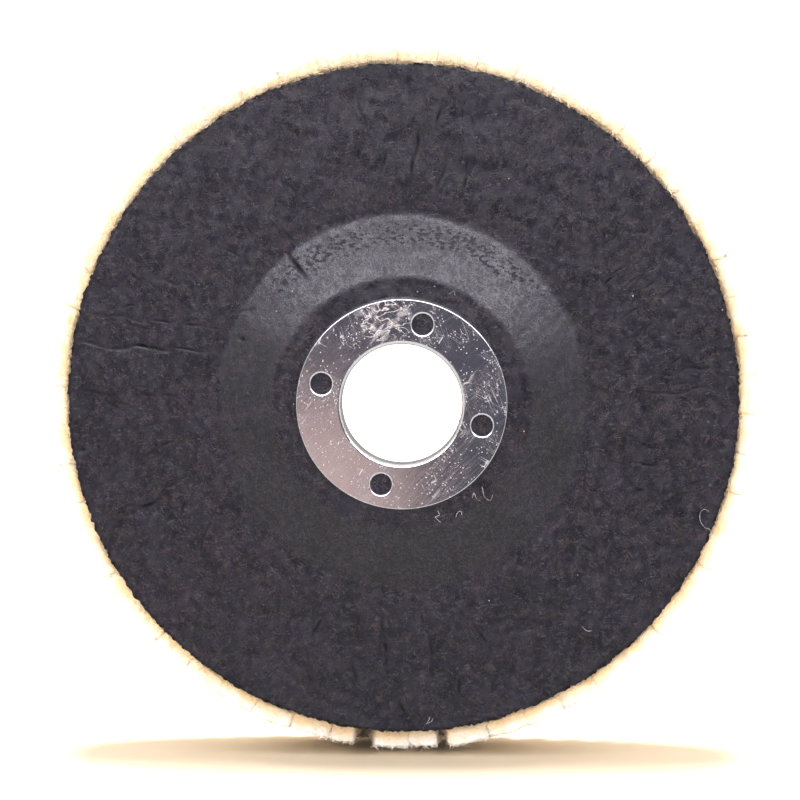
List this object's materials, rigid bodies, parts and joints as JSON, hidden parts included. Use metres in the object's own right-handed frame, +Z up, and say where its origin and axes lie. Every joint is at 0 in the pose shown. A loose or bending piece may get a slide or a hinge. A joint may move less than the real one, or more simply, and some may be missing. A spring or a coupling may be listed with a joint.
{
  "type": "felt flap polishing wheel",
  "caption": "Felt flap polishing wheel for an angle grinder: shingled wool-felt flaps glued to a black cloth-faced fibre backing plate with a raised hub and a metal arbor ring.",
  "frame": {"origin": "centre of the arbor hole, in the plane of the arbor ring's back face (the face that seats on the grinder's flange)", "axes": "+Y along the spin axis, from the grinder to the felt working side; +Z up as the wheel stands on its rim; +X to the right seen from the grinder side"},
  "size_m": [0.096, 0.0176, 0.096],
  "materials": {
    "plated_steel": "bright tin-plated sheet, finely scratched, with a faint diagonal rolling grain",
    "black_nonwoven": "charcoal-black resin-pressed non-woven cloth, matte to satin, mottled, with pale loose fibres",
    "phenolic_laminate": "dark phenolic-resin fibre laminate, rough cut edge",
    "glass_mesh": "open glass-fibre cloth soaked in dark resin",
    "cured_adhesive": "cured brown epoxy adhesive, semi-gloss",
    "wool_felt": "cream wool felt, napped, darker and yellower near the plate"
  },
  "bodies": {
    "root": {"arbor_ring": "plated_steel", "back_cloth": "black_nonwoven", "backing_laminate": "phenolic_laminate", "glass_mesh": "glass_mesh", "adhesive_ring": "cured_adhesive", "flap_01": "wool_felt", "flap_02": "wool_felt", "flap_03": "wool_felt", "flap_04": "wool_felt", "flap_05": "wool_felt", "flap_06": "wool_felt", "flap_07": "wool_felt", "flap_08": "wool_felt", "flap_09": "wool_felt", "flap_10": "wool_felt", "flap_11": "wool_felt", "flap_12": "wool_felt", "flap_13": "wool_felt", "flap_14": "wool_felt", "flap_15": "wool_felt", "flap_16": "wool_felt", "flap_17": "wool_felt", "flap_18": "wool_felt", "flap_19": "wool_felt", "flap_20": "wool_felt", "flap_21": "wool_felt", "flap_22": "wool_felt", "flap_23": "wool_felt", "flap_24": "wool_felt", "flap_25": "wool_felt", "flap_26": "wool_felt", "flap_27": "wool_felt", "flap_28": "wool_felt", "flap_29": "wool_felt", "flap_30": "wool_felt", "flap_31": "wool_felt", "flap_32": "wool_felt", "flap_33": "wool_felt", "flap_34": "wool_felt", "flap_35": "wool_felt", "flap_36": "wool_felt", "flap_37": "wool_felt", "flap_38": "wool_felt", "flap_39": "wool_felt", "flap_40": "wool_felt", "flap_41": "wool_felt", "flap_42": "wool_felt", "flap_43": "wool_felt", "flap_44": "wool_felt", "flap_45": "wool_felt", "flap_46": "wool_felt", "flap_47": "wool_felt", "flap_48": "wool_felt", "flap_49": "wool_felt", "flap_50": "wool_felt", "flap_51": "wool_felt", "flap_52": "wool_felt", "flap_53": "wool_felt", "flap_54": "wool_felt"}
  },
  "joints": []
}
